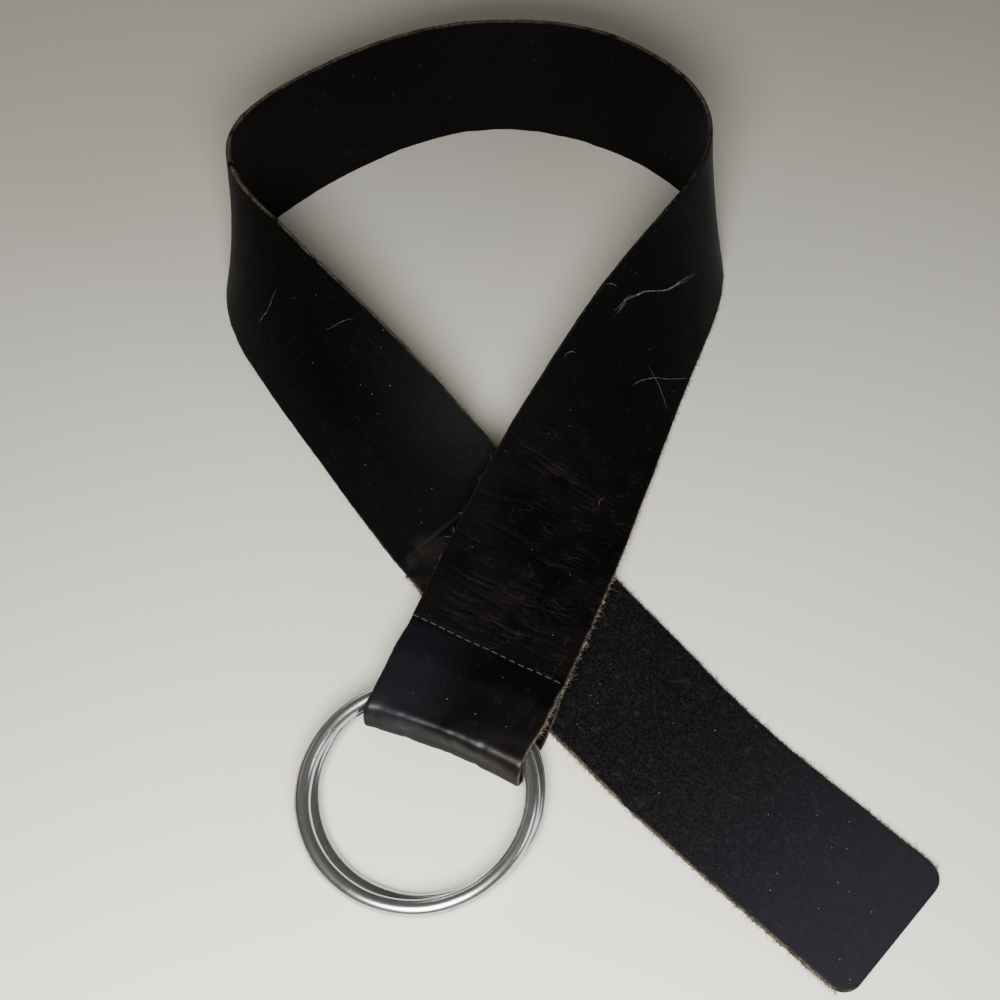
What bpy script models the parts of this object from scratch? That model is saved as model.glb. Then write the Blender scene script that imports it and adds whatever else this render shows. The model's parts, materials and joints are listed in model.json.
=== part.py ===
"""Worn leather belt with two loose rings, lying in a loop as it was put down.

One strap of leather is modelled as a sheet that is swept along its course and
given its thickness. It starts at the free end, runs flat under the crossing,
stands up on its edge round the back of the waist loop, comes down over itself
and ends folded round the two rings. Lengths are in metres, Z is up.
"""
import math

import bmesh
import bpy
import numpy as np
from mathutils import Matrix, Vector

# strap
STRAP_WIDTH = 0.050
LEATHER = 0.0018
TIP_RUN = 0.0015
COURSE_RUN = 0.8065
FLAP_LENGTH = 0.038
STITCH_TO_FOLD = 0.035
TIP_RADIUS = 0.006
CREASE_DEPTH = 0.0007
CREASE_SPREAD = 0.0045
STIFF_LENGTH = 0.036

# rings
RING_WIRE = 0.0048
RING_PLAY = 0.0090
RING_STEP = 0.0037
RING_SHIFT = 0.0006
RING_OFFSET = 0.0005

# fit
CLEARANCE = 0.0003
FOLD_ROOM = 0.0002
FOLD_SAG = 0.0022
PLY_ROOM = 0.0001
FOLD_PINCH = 0.0014
PINCH_RUN = 0.018
BEND_SHAPE = 0.84
CREASE_FADE = 0.2
STATION_STEP = 0.0065
FINE_STEP = 0.0022
COLUMNS_ACROSS = 8
FINE_COURSE = 1601

# The course of the strap, from the free end to the fold. The strap runs on
# straight for TIP_RUN before it.
# along is a share of the course, heading and lean are degrees (lean is the tilt
# of the width, 0 flat and 90 on its edge), rise is a share of the height of
# the fold over the rings, width a share of the strap's width.
COURSE_COLUMNS = ("along", "heading", "lean", "rise", "width")
COURSE = (
    (0.000, 136.0, 0, 0.00, 0.94),
    (0.063, 136.0, 0, 0.00, 0.94),
    (0.103, 132.5, 0, 0.00, 0.97),
    (0.138, 130.5, 0, 0.00, 1.00),
    (0.173, 129.5, 2, 0.00, 1.00),
    (0.207, 128.5, 9, 0.00, 0.98),
    (0.242, 124.5, 20, 0.00, 0.97),
    (0.272, 123.0, 33, 0.00, 0.97),
    (0.307, 123.0, 46, 0.00, 0.99),
    (0.341, 121.5, 56, 0.00, 1.00),
    (0.366, 113.0, 61, 0.00, 1.00),
    (0.388, 98.0, 71, 0.00, 1.00),
    (0.411, 77.0, 83, 0.00, 1.00),
    (0.433, 57.0, 93, 0.00, 1.00),
    (0.456, 46.0, 96, 0.00, 1.00),
    (0.495, 38.0, 95, 0.00, 1.00),
    (0.535, 24.0, 93, 0.00, 1.00),
    (0.574, -2.0, 92, 0.00, 1.00),
    (0.614, -24.0, 95, 0.00, 1.00),
    (0.654, -43.0, 92, 0.00, 1.00),
    (0.681, -62.0, 88, 0.00, 1.00),
    (0.712, -83.0, 79, 0.00, 1.00),
    (0.746, -104.0, 66, 0.00, 1.00),
    (0.768, -112.0, 59, 0.00, 1.00),
    (0.803, -110.5, 47, 0.03, 1.00),
    (0.842, -109.5, 35, 0.11, 1.00),
    (0.877, -109.5, 23, 0.26, 1.01),
    (0.912, -111.0, 12, 0.48, 1.01),
    (0.945, -112.5, 5, 0.65, 1.01),
    (0.975, -113.0, 0, 0.74, 1.00),
    (1.000, -113.0, 0, 0.76, 1.00),
)

# Creases pressed into the leather: along is a share of the course, start and
# end are shares of the width between which the crease runs, slant turns it.
CREASE_COLUMNS = ("along", "start", "end", "depth", "slant")
CREASES = (
    (0.2235, 0.05, 0.95, 1.0, 0.00),
    (0.8767, 0.20, 0.95, 0.4, 0.07),
)

# Sizes that follow from the ones above
STRAP_RUN = TIP_RUN + COURSE_RUN
FIRST_SHARE = -TIP_RUN / COURSE_RUN
FINE_SHARES = np.linspace(FIRST_SHARE, 1, FINE_COURSE)
RING_INNER = STRAP_WIDTH + RING_PLAY
RING_RADIUS = RING_INNER / 2 + RING_WIRE / 2
HALF_FOLD = (STRAP_WIDTH - FOLD_PINCH) / 2
UPPER_SIDE = HALF_FOLD + RING_OFFSET
LOWER_SIDE = HALF_FOLD + abs(RING_SHIFT - RING_OFFSET)
FLAP_LIFT = LEATHER + CLEARANCE
FLAP_MIDDLE = FLAP_LIFT + LEATHER / 2


def column(table, names, name):
    """One column of a table as an array."""
    return np.array([row[names.index(name)] for row in table], dtype=float)


def smooth_curve(xs, ys, x):
    """Values of a smooth curve through a table's points that never overshoots."""
    slope = np.diff(ys) / np.diff(xs)
    step = np.diff(xs)
    tangent = np.zeros(len(xs))
    tangent[0], tangent[-1] = slope[0], slope[-1]
    for i in range(1, len(xs) - 1):
        if slope[i - 1] * slope[i] > 0:
            first = 2 * step[i] + step[i - 1]
            second = step[i] + 2 * step[i - 1]
            tangent[i] = (first + second) / (first / slope[i - 1] + second / slope[i])
    i = np.clip(np.searchsorted(xs, x) - 1, 0, len(xs) - 2)
    t = (x - xs[i]) / step[i]
    return (ys[i] * (1 + 2 * t) * (1 - t) ** 2 + tangent[i] * step[i] * t * (1 - t) ** 2
            + ys[i + 1] * t * t * (3 - 2 * t) + tangent[i + 1] * step[i] * t * t * (t - 1))


def relaxed_course(name):
    """A column of the course as a fine curve that the stiff leather evens out."""
    xs = column(COURSE, COURSE_COLUMNS, "along")
    ys = smooth_curve(xs, column(COURSE, COURSE_COLUMNS, name), FINE_SHARES)
    half = max(1, round(STIFF_LENGTH / STRAP_RUN * FINE_COURSE / 2))
    window = np.hanning(2 * half + 3)[1:-1]
    padded = np.pad(ys, half, mode="edge")
    return np.convolve(padded, window / window.sum(), mode="valid")


COURSE_CURVES = {name: relaxed_course(name) for name in COURSE_COLUMNS[1:]}


def course_value(name, share):
    """A value of the course at a share of it."""
    return np.interp(share, FINE_SHARES, COURSE_CURVES[name])


def ease(value):
    """Smooth step from 0 to 1."""
    value = np.clip(value, 0, 1)
    return value * value * (3 - 2 * value)


def ring_crossing():
    """Distance from the lower ring's centre to where its wire leaves the strap's far edge."""
    return math.sqrt(RING_RADIUS ** 2 - LOWER_SIDE ** 2)


def ring_reach():
    """Distance from the fold's end to the upper ring's centre."""
    edge = math.sqrt((RING_INNER / 2) ** 2 - UPPER_SIDE ** 2)
    return edge - CLEARANCE - LEATHER - FOLD_ROOM


def ring_tilt():
    """The lower ring's free side lies on the surface, the fold's flap lifts the other."""
    return math.asin((FLAP_LIFT + LEATHER + CLEARANCE) / (ring_crossing() + RING_RADIUS))


def ring_height(distance, index):
    """Height of a ring's middle plane at a distance from the fold's end."""
    tilt = ring_tilt()
    from_centre = distance + ring_reach() - RING_STEP
    base = RING_WIRE / 2 + (RING_RADIUS + from_centre) * math.tan(tilt)
    return base + index * (RING_WIRE + CLEARANCE) / math.cos(tilt)


def over_rings(distance):
    """Height of the top ply's middle where it lies over the rings."""
    return ring_height(distance, 1) + RING_WIRE / 2 + CLEARANCE + LEATHER / 2


UPPER_FAR = RING_RADIUS + RING_WIRE / 2 - ring_reach()
LOWER_FAR = UPPER_FAR + RING_STEP
FOLD_HEIGHT = over_rings(UPPER_FAR)
BEND_DEPTH = LEATHER / 2 + (over_rings(RING_WIRE) - FLAP_MIDDLE) / 2 * BEND_SHAPE


def course_points(shares):
    """Lower edge, width direction and width at shares of the course."""
    fine = FINE_SHARES
    heading = np.radians(course_value("heading", fine))
    step = COURSE_RUN * (fine[1] - fine[0])
    middle = (heading[1:] + heading[:-1]) / 2
    x = np.concatenate(([0], np.cumsum(np.cos(middle) * step)))
    y = np.concatenate(([0], np.cumsum(np.sin(middle) * step)))
    x, y = np.interp(shares, fine, x), np.interp(shares, fine, y)
    heading = np.radians(course_value("heading", shares))
    lean = np.radians(course_value("lean", shares))
    width = course_value("width", shares) * STRAP_WIDTH
    rest = LEATHER / 2 * np.abs(np.cos(lean))
    low = course_value("rise", shares) * (FOLD_HEIGHT - LEATHER / 2) + rest
    return x, y, low, heading, lean, width


def top_ply(distances, across):
    """Points of the strap's middle sheet at distances from the fold's end."""
    shares = 1 - distances / COURSE_RUN
    x, y, low, heading, lean, width = course_points(shares)
    side = heading - math.pi / 2
    reach = across * width[:, None]
    px = x[:, None] + reach * (np.cos(side) * np.cos(lean))[:, None]
    py = y[:, None] + reach * (np.sin(side) * np.cos(lean))[:, None]
    pz = low[:, None] + reach * np.sin(lean)[:, None]
    near = ease((STITCH_TO_FOLD - distances) / (STITCH_TO_FOLD - UPPER_FAR))[:, None]
    pz = pz * (1 - near) + over_rings(distances)[:, None] * near
    return np.stack([px, py, pz], axis=2)


def tip_trim(distance_to_tip):
    """Shares of the width that the rounded corners of the free end take off."""
    inside = np.clip(TIP_RADIUS - distance_to_tip, 0, TIP_RADIUS)
    cut = TIP_RADIUS - np.sqrt(np.maximum(TIP_RADIUS ** 2 - inside ** 2, 0))
    return cut / STRAP_WIDTH


def pinched(distances, across):
    """Shares of the width, with the right edge pressed in by the rings near the fold."""
    near = ease((PINCH_RUN - distances) / (PINCH_RUN - BEND_DEPTH))[:, None]
    cut = FOLD_PINCH / STRAP_WIDTH * near
    return cut + across * (1 - cut)


def strap_points():
    """The strap's middle sheet, a row of points for each station."""
    tip = TIP_RADIUS * (1 - np.cos(np.linspace(0, math.pi / 2, 6)))
    along = list(STRAP_RUN - tip)
    crease_at = [COURSE_RUN * (1 - row[0]) for row in CREASES]
    distance = STRAP_RUN - TIP_RADIUS
    while distance > STITCH_TO_FOLD:
        close = min(abs(distance - at) for at in crease_at)
        distance -= FINE_STEP if close < CREASE_SPREAD * 4 else STATION_STEP
        along.append(distance)
    along = [value for value in along if value > STITCH_TO_FOLD + FINE_STEP / 2]
    count = int((STITCH_TO_FOLD - BEND_DEPTH) / FINE_STEP) + 1
    along += list(np.linspace(STITCH_TO_FOLD, BEND_DEPTH, count))
    along = np.array(along)

    base = np.linspace(0, 1, COLUMNS_ACROSS + 1)[None, :]
    trim = tip_trim(STRAP_RUN - along)[:, None]
    across = trim + base * (1 - 2 * trim)
    rows = [top_ply(along, pinched(along, across))]

    # the bend round the rings, a rounded box in side view
    angles = np.radians(np.linspace(90, -90, 13))[1:-1]
    start = np.array([BEND_DEPTH])
    flat = top_ply(start, pinched(start, base))[0]
    heading = math.radians(COURSE[-1][1])
    ahead = np.array([math.cos(heading), math.sin(heading), 0])
    high = flat[:, 2]
    middle = (high + FLAP_MIDDLE) / 2
    half = (high - FLAP_MIDDLE) / 2
    sag = FOLD_SAG * (1 - (2 * base[0] - 1) ** 2)
    bend = []
    for angle in angles:
        out = (BEND_DEPTH - LEATHER / 2) * math.cos(angle) ** 0.8
        lift = math.copysign(abs(math.sin(angle)) ** 0.8, math.sin(angle))
        points = flat + ahead * (out - sag * math.cos(angle))[:, None]
        points[:, 2] = middle + half * lift
        bend.append(points)
    rows.append(np.array(bend))

    # the flap underneath, up to its end just past the stitches
    count = int((FLAP_LENGTH - BEND_DEPTH) / FINE_STEP) + 1
    under = np.linspace(BEND_DEPTH, FLAP_LENGTH, count)
    above = top_ply(under, pinched(under, base))
    meet = ease((under - LOWER_FAR) / (STITCH_TO_FOLD - LOWER_FAR))[:, None]
    flap = above.copy()
    ply = LEATHER + CLEARANCE + PLY_ROOM
    flap[:, :, 2] = FLAP_MIDDLE * (1 - meet) + (above[:, :, 2] - ply) * meet
    rows.append(flap)
    points = np.concatenate(rows)
    return press_creases(points, len(along), along)


def press_creases(points, count, along):
    """Each crease is a shallow groove across the outer face."""
    run_step = np.gradient(points[:count], axis=0)
    width_step = np.gradient(points[:count], axis=1)
    outward = np.cross(width_step, run_step)
    outward /= np.linalg.norm(outward, axis=2)[:, :, None]
    base = np.linspace(0, 1, COLUMNS_ACROSS + 1)
    for row in CREASES:
        place, start, end, depth, slant = row
        line = COURSE_RUN * (1 - place) + slant * STRAP_WIDTH * (base - 0.5)
        gap = (along[:, None] - line[None, :]) / CREASE_SPREAD
        fade = ease((base - start) / CREASE_FADE) * ease((end - base) / CREASE_FADE)
        shape = np.exp(-gap ** 2) * fade
        points[:count] -= outward * (CREASE_DEPTH * depth * shape)[:, :, None]
    return points


def leather_material(name, colour, roughness):
    """Plain dark leather."""
    material = bpy.data.materials.new(name)
    material.use_nodes = True
    shader = material.node_tree.nodes["Principled BSDF"]
    shader.inputs["Base Color"].default_value = (*colour, 1)
    shader.inputs["Roughness"].default_value = roughness
    return material


def steel_material(name):
    """Nickel-plated steel wire."""
    material = leather_material(name, (0.62, 0.61, 0.59), 0.28)
    material.node_tree.nodes["Principled BSDF"].inputs["Metallic"].default_value = 1
    return material


def make_strap():
    """The strap as a sheet of quads with a Solidify modifier for the leather."""
    points = strap_points()
    rows, columns = points.shape[:2]
    mesh = bpy.data.meshes.new("strap")
    shape = bmesh.new()
    grid = [[shape.verts.new(point) for point in row] for row in points.tolist()]
    for i in range(rows - 1):
        for j in range(columns - 1):
            shape.faces.new((grid[i][j], grid[i + 1][j], grid[i + 1][j + 1], grid[i][j + 1]))
    bmesh.ops.recalc_face_normals(shape, faces=shape.faces)
    shape.to_mesh(mesh)
    shape.free()
    strap = bpy.data.objects.new("strap", mesh)
    bpy.context.collection.objects.link(strap)
    mesh.shade_smooth()
    mesh.materials.append(leather_material("strap_leather", (0.022, 0.019, 0.018), 0.5))
    wall = strap.modifiers.new("leather", "SOLIDIFY")
    wall.thickness = LEATHER
    wall.offset = 0
    wall.use_even_offset = True
    return strap


def ring_centre(index):
    """Centre of the lower ring (0) or the upper one (1)."""
    x, y, low, heading, lean, width = course_points(np.array([1.0]))
    heading = float(heading[0])
    ahead = Vector((math.cos(heading), math.sin(heading), 0))
    side = Vector((math.sin(heading), -math.cos(heading), 0))
    to_side = (float(width[0]) + FOLD_PINCH) / 2 + RING_OFFSET - RING_SHIFT * (1 - index)
    middle = Vector((float(x[0]), float(y[0]), 0)) + side * to_side
    reach = ring_reach() - RING_STEP * (1 - index)
    normal = (Vector((0, 0, 1)) + ahead * math.tan(ring_tilt())).normalized()
    centre = middle + ahead * reach
    centre.z = ring_height(-reach, index)
    return centre, ahead, normal


def make_ring(name, index):
    """A ring of round wire, turned about its own axis."""
    centre, ahead, normal = ring_centre(index)
    bpy.ops.mesh.primitive_torus_add(
        major_radius=RING_RADIUS, minor_radius=RING_WIRE / 2,
        major_segments=72, minor_segments=14)
    ring = bpy.context.object
    ring.name = name
    ring.data.name = name
    ring.data.shade_smooth()
    ring.data.materials.append(steel_material(name + "_steel"))
    side = normal.cross(ahead).normalized()
    front = side.cross(normal)
    turn = Matrix((front, side, normal)).transposed()
    ring.rotation_mode = "QUATERNION"
    ring.rotation_quaternion = turn.to_quaternion()
    ring.location = centre
    return ring


def centre_on_base(pieces):
    """Parent all pieces to an empty that puts the middle of the base at the origin."""
    belt = bpy.data.objects.new("belt", None)
    bpy.context.collection.objects.link(belt)
    bpy.context.view_layer.update()
    graph = bpy.context.evaluated_depsgraph_get()
    corners = []
    for piece in pieces:
        seen = piece.evaluated_get(graph)
        corners += [seen.matrix_world @ vertex.co for vertex in seen.data.vertices]
    corners = np.array([tuple(corner) for corner in corners])
    low, high = corners.min(axis=0), corners.max(axis=0)
    for piece in pieces:
        piece.parent = belt
    belt.location = (-(low[0] + high[0]) / 2, -(low[1] + high[1]) / 2, -low[2])


def main():
    for item in list(bpy.data.objects):
        bpy.data.objects.remove(item, do_unlink=True)
    strap = make_strap()
    lower = make_ring("ring_lower", 0)
    upper = make_ring("ring_upper", 1)
    centre_on_base([strap, lower, upper])


main()
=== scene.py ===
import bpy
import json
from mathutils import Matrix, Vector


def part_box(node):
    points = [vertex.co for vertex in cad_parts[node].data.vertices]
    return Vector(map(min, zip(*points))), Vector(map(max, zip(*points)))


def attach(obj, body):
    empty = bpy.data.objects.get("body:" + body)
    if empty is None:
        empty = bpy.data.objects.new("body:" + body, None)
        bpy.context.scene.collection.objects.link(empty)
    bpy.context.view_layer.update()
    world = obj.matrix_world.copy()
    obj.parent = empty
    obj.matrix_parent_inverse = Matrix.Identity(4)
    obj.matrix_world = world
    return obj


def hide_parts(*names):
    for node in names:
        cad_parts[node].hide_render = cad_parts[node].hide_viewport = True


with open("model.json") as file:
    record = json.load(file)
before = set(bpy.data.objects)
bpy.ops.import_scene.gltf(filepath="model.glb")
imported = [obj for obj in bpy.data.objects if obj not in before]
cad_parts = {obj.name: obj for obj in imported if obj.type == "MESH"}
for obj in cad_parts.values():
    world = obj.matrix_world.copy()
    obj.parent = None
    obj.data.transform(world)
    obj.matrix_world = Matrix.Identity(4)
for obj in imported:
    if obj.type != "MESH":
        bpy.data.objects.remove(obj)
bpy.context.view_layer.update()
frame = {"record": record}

import json
import math

import bpy
import numpy as np

# The belt is one strap of worn leather and two loose rings. Lengths are in
# metres. A place on the strap is given by its distance from the fold's end and
# by its share across the width, from the lower or right edge to the other.

# Sizes shared with the solids
STRAP_WIDTH = 0.050
LEATHER = 0.0018
TIP_RUN = 0.0015
COURSE_RUN = 0.8065
FLAP_LENGTH = 0.038
STITCH_TO_FOLD = 0.035
TIP_RADIUS = 0.006
STIFF_LENGTH = 0.036
RING_WIRE = 0.0048
RING_PLAY = 0.0090
RING_STEP = 0.0037
RING_SHIFT = 0.0006
RING_OFFSET = 0.0005
CLEARANCE = 0.0003
FOLD_ROOM = 0.0002
FOLD_SAG = 0.0022
PLY_ROOM = 0.0001
FOLD_PINCH = 0.0014
PINCH_RUN = 0.018
BEND_SHAPE = 0.84
FINE_COURSE = 1601

COURSE_COLUMNS = ("along", "heading", "lean", "rise", "width")
COURSE = (
    (0.000, 136.0, 0, 0.00, 0.94),
    (0.063, 136.0, 0, 0.00, 0.94),
    (0.103, 132.5, 0, 0.00, 0.97),
    (0.138, 130.5, 0, 0.00, 1.00),
    (0.173, 129.5, 2, 0.00, 1.00),
    (0.207, 128.5, 9, 0.00, 0.98),
    (0.242, 124.5, 20, 0.00, 0.97),
    (0.272, 123.0, 33, 0.00, 0.97),
    (0.307, 123.0, 46, 0.00, 0.99),
    (0.341, 121.5, 56, 0.00, 1.00),
    (0.366, 113.0, 61, 0.00, 1.00),
    (0.388, 98.0, 71, 0.00, 1.00),
    (0.411, 77.0, 83, 0.00, 1.00),
    (0.433, 57.0, 93, 0.00, 1.00),
    (0.456, 46.0, 96, 0.00, 1.00),
    (0.495, 38.0, 95, 0.00, 1.00),
    (0.535, 24.0, 93, 0.00, 1.00),
    (0.574, -2.0, 92, 0.00, 1.00),
    (0.614, -24.0, 95, 0.00, 1.00),
    (0.654, -43.0, 92, 0.00, 1.00),
    (0.681, -62.0, 88, 0.00, 1.00),
    (0.712, -83.0, 79, 0.00, 1.00),
    (0.746, -104.0, 66, 0.00, 1.00),
    (0.768, -112.0, 59, 0.00, 1.00),
    (0.803, -110.5, 47, 0.03, 1.00),
    (0.842, -109.5, 35, 0.11, 1.00),
    (0.877, -109.5, 23, 0.26, 1.01),
    (0.912, -111.0, 12, 0.48, 1.01),
    (0.945, -112.5, 5, 0.65, 1.01),
    (0.975, -113.0, 0, 0.74, 1.00),
    (1.000, -113.0, 0, 0.76, 1.00),
)

# The strap's own grid: step between stations at distances from the fold's end
STEP_COLUMNS = ("distance", "step")
STEPS = (
    (0.000, 0.00050),
    (0.034, 0.00050),
    (0.036, 0.00040),
    (0.060, 0.00040),
    (0.066, 0.00045),
    (0.112, 0.00045),
    (0.125, 0.00080),
    (0.200, 0.00090),
    (0.230, 0.00220),
    (0.470, 0.00220),
    (0.490, 0.00140),
    (0.600, 0.00140),
    (0.612, 0.00055),
    (0.645, 0.00055),
    (0.655, 0.00140),
    (0.802, 0.00140),
)
FACE_CELLS = 48
EDGE_ROUND = 0.0007
EDGE_ANGLES = (30, 60, 90)
CORNER_POINTS = 2 * len(EDGE_ANGLES)
BEND_STATIONS = 26
BEND_POWER = 0.8
FLAP_STEP = 0.0015
PROBE = 0.0004

# The photograph's view, with the focal length and the frame in pixels
FOCAL_LENGTH = 1400
FRAME_WIDTH = 1000
SENSOR_WIDTH = 36
CAMERA_DOWN = 55.12
CAMERA_FROM_TIP = (-0.09028, -0.10127, 0.375)

# Marks and creases, by their distance from the fold's end
SEAM_LEFT = 0.0357
SEAM_RIGHT = 0.0314
STITCH_COUNT = 17
STITCH_PLACES = 9
THREAD_RADIUS = 0.00016
CROSS_CREASE = 0.6265
BUNDLE = 0.0995
NAP_START = 0.640
BACK_RUN = (0.27, 0.43)

# Soft waves of the faces: height, length along, length across and the noise's number
OUTER_WAVES = (
    (0.00016, 0.026, 0.023, 5),
    (0.00007, 0.009, 0.013, 6),
    (0.00003, 0.0035, 0.004, 7),
)
INNER_WAVE = (0.00014, 0.020, 0.020, 15)

# Short creases near the stitches, further up and in the bundle. Each pair is the
# least and the most, or for the bow and the slant the mean and its spread.
CREASE_PARTS = ("middle", "half", "depth", "spread", "bow", "slant")
CREASE_GROUPS = (
    ((0.02, 0.80), (0.05, 0.20), (0.00006, 0.00016), (0.00030, 0.00050), (0.0012, 0.0016), (0.004, 0.004)),
    ((0.02, 0.92), (0.05, 0.22), (0.00004, 0.00012), (0.00030, 0.00050), (0.0008, 0.0020), (0.002, 0.005)),
    ((0.35, 0.85), (0.10, 0.26), (0.00010, 0.00020), (0.00032, 0.00050), (0.0006, 0.0006), (0.0035, 0.0010)),
)
CREASE_COUNTS = (64, 58, 12)

# Lint and hairs on the outer face, each strand by its places in turn
STRAND_COLUMNS = ("strand", "distance", "across")
STRANDS = (
    (1, 0.1568, 0.800),
    (1, 0.1645, 0.790),
    (1, 0.1710, 0.730),
    (1, 0.1805, 0.570),
    (1, 0.1890, 0.500),
    (1, 0.1975, 0.420),
    (2, 0.1427, 0.430),
    (2, 0.1500, 0.330),
    (2, 0.1560, 0.190),
    (2, 0.1630, 0.030),
    (3, 0.1630, 0.985),
    (3, 0.1646, 0.950),
    (3, 0.1654, 0.910),
    (4, 0.1540, 0.390),
    (4, 0.1512, 0.240),
    (4, 0.1460, 0.090),
    (5, 0.1384, 0.900),
    (5, 0.1372, 0.930),
    (5, 0.1352, 0.940),
    (6, 0.5212, 0.280),
    (6, 0.5225, 0.440),
    (6, 0.5217, 0.600),
    (7, 0.5491, 0.690),
    (7, 0.5515, 0.800),
    (7, 0.5548, 0.890),
    (8, 0.1010, 0.240),
    (8, 0.0985, 0.270),
    (8, 0.0960, 0.262),
)
STRAND_PLACES = 28

# Each strand's number, thickness and copies that fray out of it
STRAND_KINDS = (
    (1, 0.000050, 14),
    (2, 0.000065, 1),
    (3, 0.000050, 1),
    (4, 0.000035, 1),
    (5, 0.000045, 1),
    (6, 0.000045, 1),
    (7, 0.000040, 1),
    (8, 0.000040, 1),
)

# Fibres of the cut edges
FIBRE_COUNT = 6400
FIBRE_PLACES = 5
FIBRE_LENGTH = 0.0016
FIBRE_RADIUS = 0.00006

# Colours of the finishes, and of the sheen and highlight painted on the leather
COLOURS = {
    "deep_black": (0.0004, 0.0004, 0.0007, 1),
    "soft_black": (0.0009, 0.0008, 0.0011, 1),
    # The blue-grey and nap sheen colours are painted sheen; the warm brown is also a painted satin sheen in
    # one place, and the cracked brown also a painted crease highlight
    "warm_brown_and_sheen": (0.0026, 0.0016, 0.0015, 1),
    "painted_blue_sheen": (0.0052, 0.0057, 0.0078, 1),
    "cracked_brown_and_highlight": (0.0135, 0.0100, 0.0080, 1),
    "scuffed_pink": (0.0105, 0.0075, 0.0070, 1),
    "nap_violet": (0.0064, 0.0059, 0.0076, 1),
    "nap_olive": (0.0095, 0.0086, 0.0060, 1),
    "painted_nap_sheen": (0.0125, 0.0128, 0.0168, 1),
    "inner_dark": (0.0016, 0.0014, 0.0016, 1),
    "inner_light": (0.0040, 0.0032, 0.0032, 1),
    "raw_dark": (0.012, 0.010, 0.008, 1),
    "raw_tan": (0.150, 0.120, 0.078, 1),
    "scratch": (0.034, 0.028, 0.023, 1),
    "dust": (0.16, 0.145, 0.125, 1),
    "thread_dark": (0.012, 0.010, 0.009, 1),
    "thread_light": (0.055, 0.045, 0.038, 1),
    "fibre_tan": (0.20, 0.165, 0.115, 1),
    "lint_brown": (0.09, 0.064, 0.050, 1),
    "lint_pale": (0.27, 0.215, 0.18, 1),
    "nickel": (0.53, 0.53, 0.54, 1),
    "nickel_dull": (0.38, 0.38, 0.39, 1),
    "tarnish": (0.16, 0.135, 0.11, 1),
    "pale_floor": (0.70, 0.678, 0.600, 1),
    "cool_sheen": (0.78, 0.82, 1.0, 1),
    "room": (0.98, 0.90, 0.76, 1),
}

# Lamps: name, place, the point it looks at, width, power and colour
LAMPS = (
    ("lamp_front", (-0.04, -0.35, 0.31), (-0.04, -0.34, 0), 0.26, 5.9, (1.0, 1.0, 0.975)),
    ("lamp_left", (-0.90, 0.50, 0.90), (0, 0, 0), 0.7, 0.4, (1.0, 0.86, 0.66)),
    ("lamp_right", (0.80, -0.20, 0.45), (0.05, 0, 0), 0.4, 1.3, (0.95, 0.96, 1.0)),
    ("lamp_back", (-0.45, 0.95, 0.55), (0, 0.1, 0), 0.5, 1.1, (1.0, 0.93, 0.84)),
)
ROOM_LIGHT = 0.045
FLOOR_REACH = 2.0
FLOOR_LEVEL = -0.0001

# Sizes that follow from the others
STRAP_RUN = TIP_RUN + COURSE_RUN
FINE_SHARES = np.linspace(-TIP_RUN / COURSE_RUN, 1, FINE_COURSE)
HALF_FOLD = (STRAP_WIDTH - FOLD_PINCH) / 2
UPPER_SIDE = HALF_FOLD + RING_OFFSET
LOWER_SIDE = HALF_FOLD + abs(RING_SHIFT - RING_OFFSET)
RING_INNER = STRAP_WIDTH + RING_PLAY
RING_RADIUS = RING_INNER / 2 + RING_WIRE / 2
FLAP_LIFT = LEATHER + CLEARANCE
FLAP_MIDDLE = FLAP_LIFT + LEATHER / 2


# The strap's middle sheet, the same as in the solids

def column(table, names, name):
    """One column of a table as an array."""
    return np.array([row[names.index(name)] for row in table], dtype=float)


def smooth_curve(xs, ys, x):
    """Cubic pieces through a table's points whose slopes are harmonic means, so none overshoots."""
    slope = np.diff(ys) / np.diff(xs)
    step = np.diff(xs)
    tangent = np.zeros(len(xs))
    tangent[0], tangent[-1] = slope[0], slope[-1]
    for i in range(1, len(xs) - 1):
        if slope[i - 1] * slope[i] > 0:
            first = 2 * step[i] + step[i - 1]
            second = step[i] + 2 * step[i - 1]
            tangent[i] = (first + second) / (first / slope[i - 1] + second / slope[i])
    i = np.clip(np.searchsorted(xs, x) - 1, 0, len(xs) - 2)
    t = (x - xs[i]) / step[i]
    return (ys[i] * (1 + 2 * t) * (1 - t) ** 2 + tangent[i] * step[i] * t * (1 - t) ** 2
            + ys[i + 1] * t * t * (3 - 2 * t) + tangent[i + 1] * step[i] * t * t * (t - 1))


def relaxed_course(name):
    """A column of the course as a fine curve, evened out by a raised cosine window."""
    xs = column(COURSE, COURSE_COLUMNS, "along")
    ys = smooth_curve(xs, column(COURSE, COURSE_COLUMNS, name), FINE_SHARES)
    half = max(1, round(STIFF_LENGTH / STRAP_RUN * FINE_COURSE / 2))
    window = np.hanning(2 * half + 3)[1:-1]
    padded = np.pad(ys, half, mode="edge")
    return np.convolve(padded, window / window.sum(), mode="valid")


COURSE_CURVES = {name: relaxed_course(name) for name in COURSE_COLUMNS[1:]}


def course_value(name, share):
    """A value of the course at a share of it."""
    return np.interp(share, FINE_SHARES, COURSE_CURVES[name])


def ease(value):
    """Smooth step from 0 to 1: three squares less two cubes."""
    value = np.clip(value, 0, 1)
    return value * value * (3 - 2 * value)


def ring_reach():
    """Distance from the fold's end to the upper ring's centre."""
    edge = math.sqrt((RING_INNER / 2) ** 2 - UPPER_SIDE ** 2)
    return edge - CLEARANCE - LEATHER - FOLD_ROOM


def ring_tilt():
    """The rings' free side lies on the surface and the fold's flap lifts the other."""
    crossing = math.sqrt(RING_RADIUS ** 2 - LOWER_SIDE ** 2)
    return math.asin((FLAP_LIFT + LEATHER + CLEARANCE) / (crossing + RING_RADIUS))


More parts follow.
